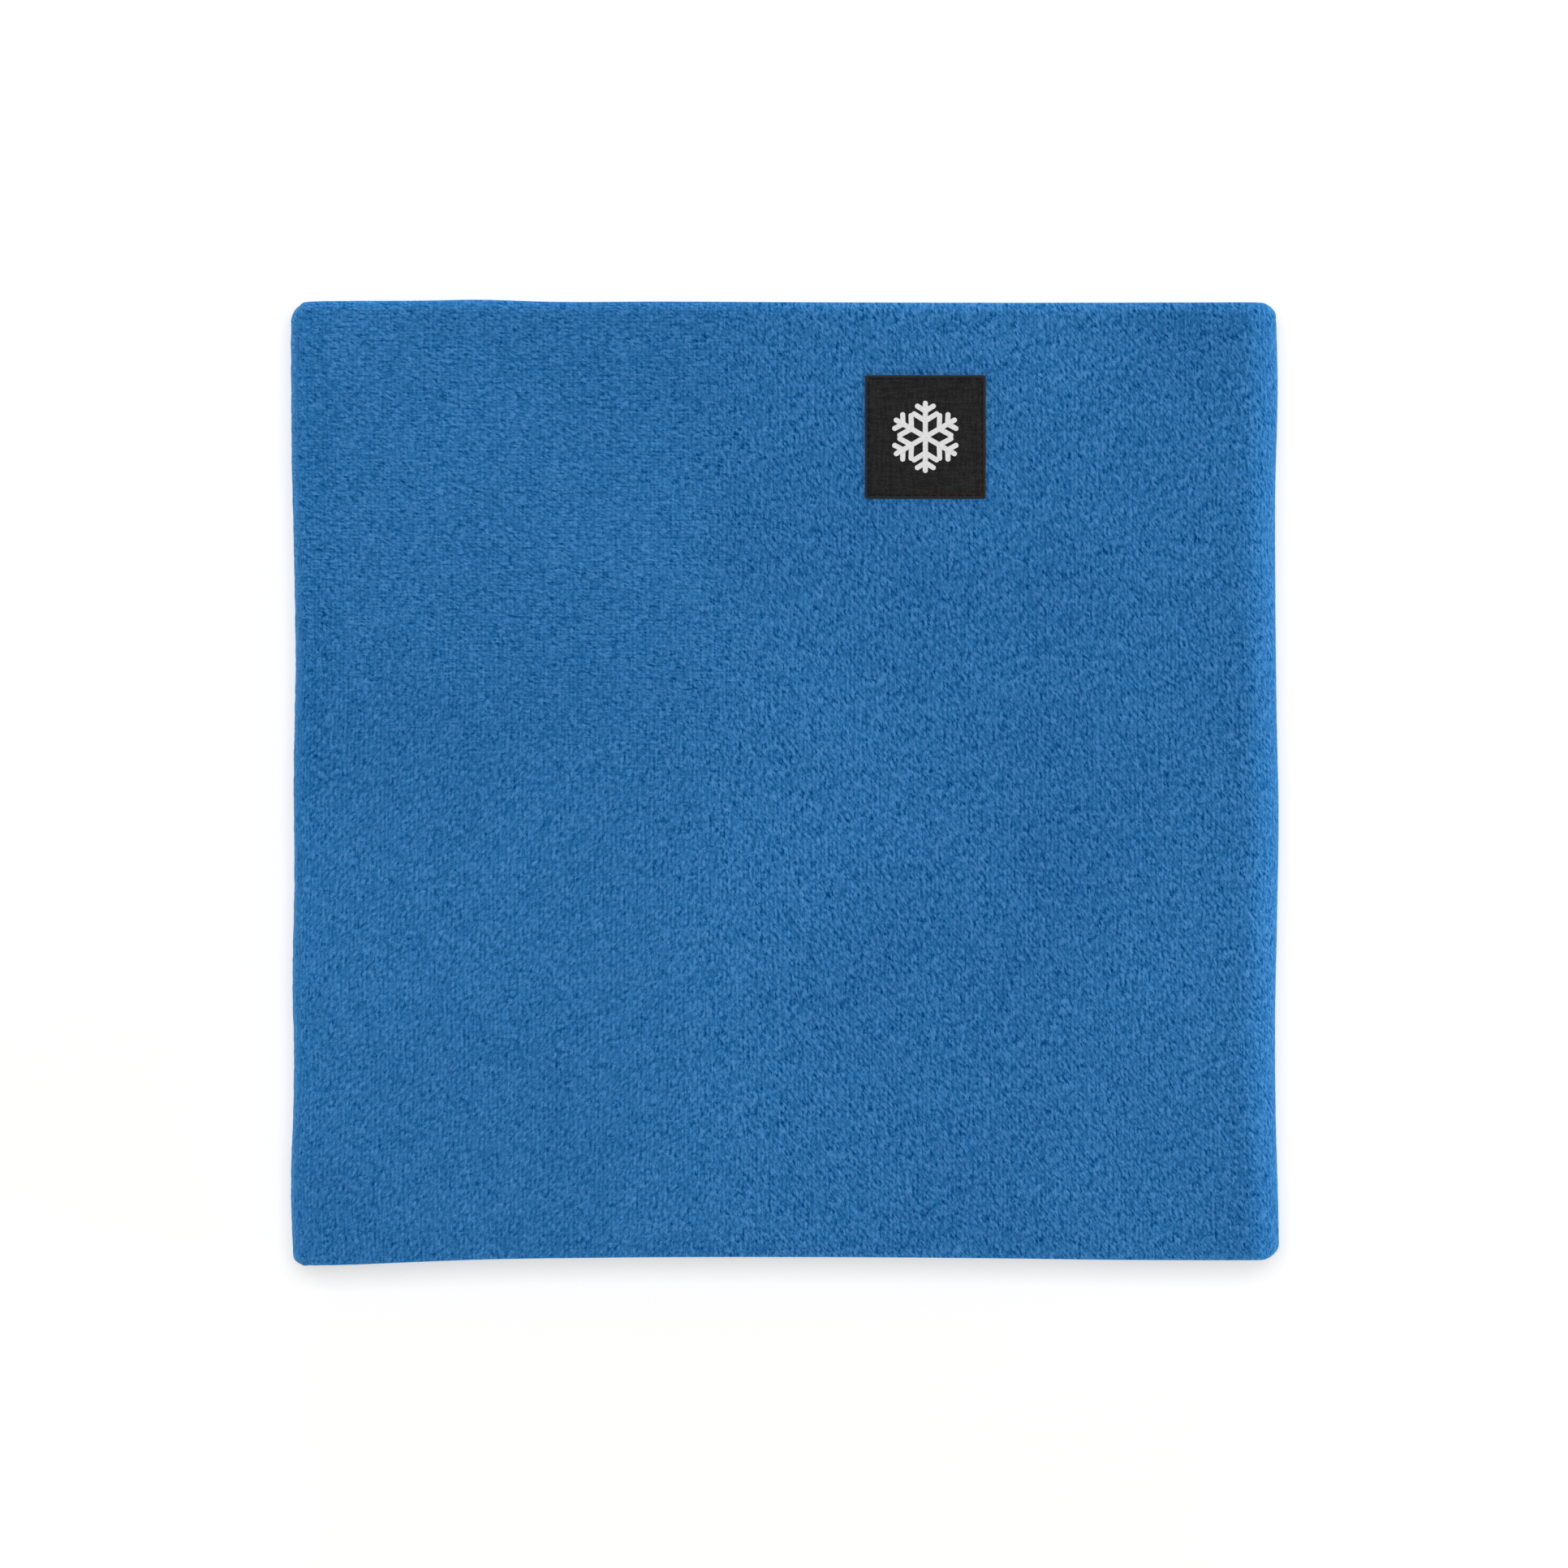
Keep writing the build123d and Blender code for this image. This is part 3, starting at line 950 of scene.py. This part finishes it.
def draped_print():
    """The CAD snowflake, cut fine enough to lie on the patch."""
    form = bmesh.new()
    form.from_mesh(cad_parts["patch_print"].data)
    low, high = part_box("patch_print")
    bmesh.ops.remove_doubles(form, verts=form.verts, dist=0.001 * MM)
    for axis in (0, 1):
        count = math.ceil((high[axis] - low[axis]) / MM)
        for k in range(1, count):
            place, normal = Vector((0, 0, 0)), Vector((0, 0, 0))
            place[axis] = low[axis] + k * (high[axis] - low[axis]) / count
            normal[axis] = 1
            geometry = form.verts[:] + form.edges[:] + form.faces[:]
            bmesh.ops.bisect_plane(form, geom=geometry, plane_co=place, plane_no=normal)
    for corner in form.verts:
        x, y, z = corner.co + PATCH_SHIFT
        upper = z > print_base + 0.01 * MM
        z = float(front_level(x, y)) + PATCH_TOP + (PRINT_UP if upper else PRINT_DOWN)
        corner.co = (x, y, z)
    mesh = bpy.data.meshes.new("snowflake_print")
    form.to_mesh(mesh)
    form.free()
    mesh.materials.append(print_material())
    piece = bpy.data.objects.new("snowflake_print", mesh)
    bpy.context.scene.collection.objects.link(piece)
    return piece


snowflake = draped_print()

# ---------------------------------------------------------------- the care label


def care_tape():
    """A satin tape folded in two, sewn down along its upper edge, its lower end curling up."""
    drop = care_high.y - care_low.y
    down = np.linspace(0, drop - CARE_FOLD, 60)
    bend = np.linspace(-math.pi / 2, math.pi / 2, 10)[1:-1]
    run = np.concatenate((down, drop - CARE_FOLD * (1 - np.cos(bend)), down[::-1]))
    rise = np.concatenate((0 * down, CARE_FOLD * (1 + np.sin(bend)), 0 * down + 2 * CARE_FOLD))
    rise = rise * smooth_step(run, 0, 5 * MM)
    lower_ply = np.arange(len(run)) < len(down) + len(bend) / 2
    rise = rise + np.where(lower_ply, 0, CARE_PLY * 1.2)
    turn_y, turn_z = np.gradient(-run), np.gradient(rise)
    size = np.hypot(turn_y, turn_z)
    out_y, out_z = turn_z / size, -turn_y / size
    x = np.linspace(care_low.x, care_high.x, 45)[None, :]
    bow = 1 + 0.25 * np.cos(math.pi * x / (care_high.x - care_low.x))
    curl = CARE_CURL * (run / drop)[:, None] ** 2.2 * bow
    sides = []
    for side in (0.5, -0.5):
        y = (care_high.y - run + side * CARE_PLY * out_y)[:, None] + 0 * x
        z = (inner_face + CARE_PLY + rise + side * CARE_PLY * out_z)[:, None] + curl
        sides.append(np.stack((x + 0 * y, y, z), -1))
    return sides


satin = satin_material()
tape = build_sheet("satin_care_label", *care_tape(), satin)
grids = []
for k in range(CARE_STITCHES):
    x = (k - (CARE_STITCHES - 1) / 2) * CARE_STITCH_STEP
    place = (x, care_high.y - CARE_STITCH_INSET, inner_face + 0.42 * MM)
    grids.append(dash(place, (1, 0), *CARE_STITCH))
white_thread = thread_material("white_thread", (0.55, 0.55, 0.54))
tape_seam = build("care_label_stitch_row", grids, white_thread, close_columns=True, capped=True)

# ---------------------------------------------------------------- the CAD parts that the pieces stand in for, and the bodies that some move with

front_fall = 1.4 * SAG  # more than the front settles anywhere
for piece, start, end, nodes in (
    (outer, fleece, thickness - fleece, ("outer_back", "outer_front")),
    (lining, inner_face, thickness - inner_face - front_fall, ("lining_back", "lining_front")),
):
    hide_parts(*nodes)
    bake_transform(piece)

SEAM_NODES = {
    "collar_seam_thread": ("collar_seam_thread_back", "collar_seam_thread_front"),
    "hem_seam_thread": ("hem_seam_thread_back", "hem_seam_thread_front"),
    "outer_side_seam": ("outer_side_seam_thread",),
    "lining_side_seam": ("lining_side_seam_thread",),
}
for name, nodes in SEAM_NODES.items():
    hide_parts(*nodes)
    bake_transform(seams[name])

for piece, body, node, slot in (
    (closing, "front", "closing_stitches", "seam_thread"),
    (patch, "front", "label_patch", "patch"),
    (patch_seam, "front", "patch_stitches", "patch_thread"),
    (snowflake, "front", "patch_print", "print"),
    (tape, "back", "care_label", "satin"),
    (tape_seam, "back", "care_label_stitches", "satin_thread"),
):
    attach(piece, body)
    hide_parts(node)

# ---------------------------------------------------------------- the studio


def softbox(name, place, size, power):
    """A large lamp that faces the gaiter. size is its width and its height."""
    lamp = bpy.data.lights.new(name, "AREA")
    lamp.shape, lamp.energy = "RECTANGLE", power
    lamp.size, lamp.size_y = size
    holder = bpy.data.objects.new(name, lamp)
    holder.location = place
    holder.rotation_euler = (-Vector(place)).to_track_quat("-Z", "Y").to_euler()
    bpy.context.scene.collection.objects.link(holder)


def studio_floor():
    """A wide white floor, whose own faint glow keeps it white and its shadows pale."""
    s = Shader("studio_floor")
    material = s.surface(
        Base_Color=opaque(0.62, 0.64, 0.725), Roughness=0.95, Specular_IOR_Level=0.0,
        Emission_Color=opaque(0.52, 0.495, 0.41), Emission_Strength=1.0,
    )
    side = np.array((-FLOOR_HALF, FLOOR_HALF))
    x, y = np.meshgrid(side, side)
    build("studio_floor", [np.stack((x, y, 0 * x), -1)], material)


def studio_world():
    """Even light from all round, and white behind the floor."""
    world = bpy.data.worlds.new("studio")
    world.use_nodes = True
    tree = world.node_tree
    rays = tree.nodes.new("ShaderNodeLightPath")
    strength = tree.nodes.new("ShaderNodeMapRange")
    tree.links.new(rays.outputs["Is Camera Ray"], strength.inputs["Value"])
    strength.inputs["To Min"].default_value = WORLD_LIGHT
    strength.inputs["To Max"].default_value = 1.0
    tree.links.new(strength.outputs[0], tree.nodes["Background"].inputs["Strength"])
    tree.nodes["Background"].inputs["Color"].default_value = opaque(1, 1, 1)
    bpy.context.scene.world = world
    bpy.context.scene.view_settings.view_transform = "Standard"


def overhead_camera():
    """A long lens straight above the gaiter, with the collar at the top of the picture."""
    lens = bpy.data.cameras.new("overhead")
    lens.sensor_width = SENSOR / MM
    lens.lens = SENSOR * CAMERA_HEIGHT / FRAMED / MM
    lens.clip_end = 60
    camera = bpy.data.objects.new("overhead", lens)
    camera.location = (-0.2 * MM, -0.4 * MM, CAMERA_HEIGHT + middle)
    bpy.context.scene.collection.objects.link(camera)
    bpy.context.scene.camera = camera


studio_floor()
studio_world()
softbox("overhead_softbox", (0, 0.55, 3.45), (2.4, 1.8), 80)
for name, place, power in (
    ("left_strip", (-2.5, 0, 0.2), 13), ("right_strip", (2.5, 0, 0.2), 36),
    ("far_strip", (0, 2.5, 0.2), 34), ("near_strip", (0, -2.5, 0.2), 15),
):
    softbox(name, place, (2.0, 0.3), power)
overhead_camera()
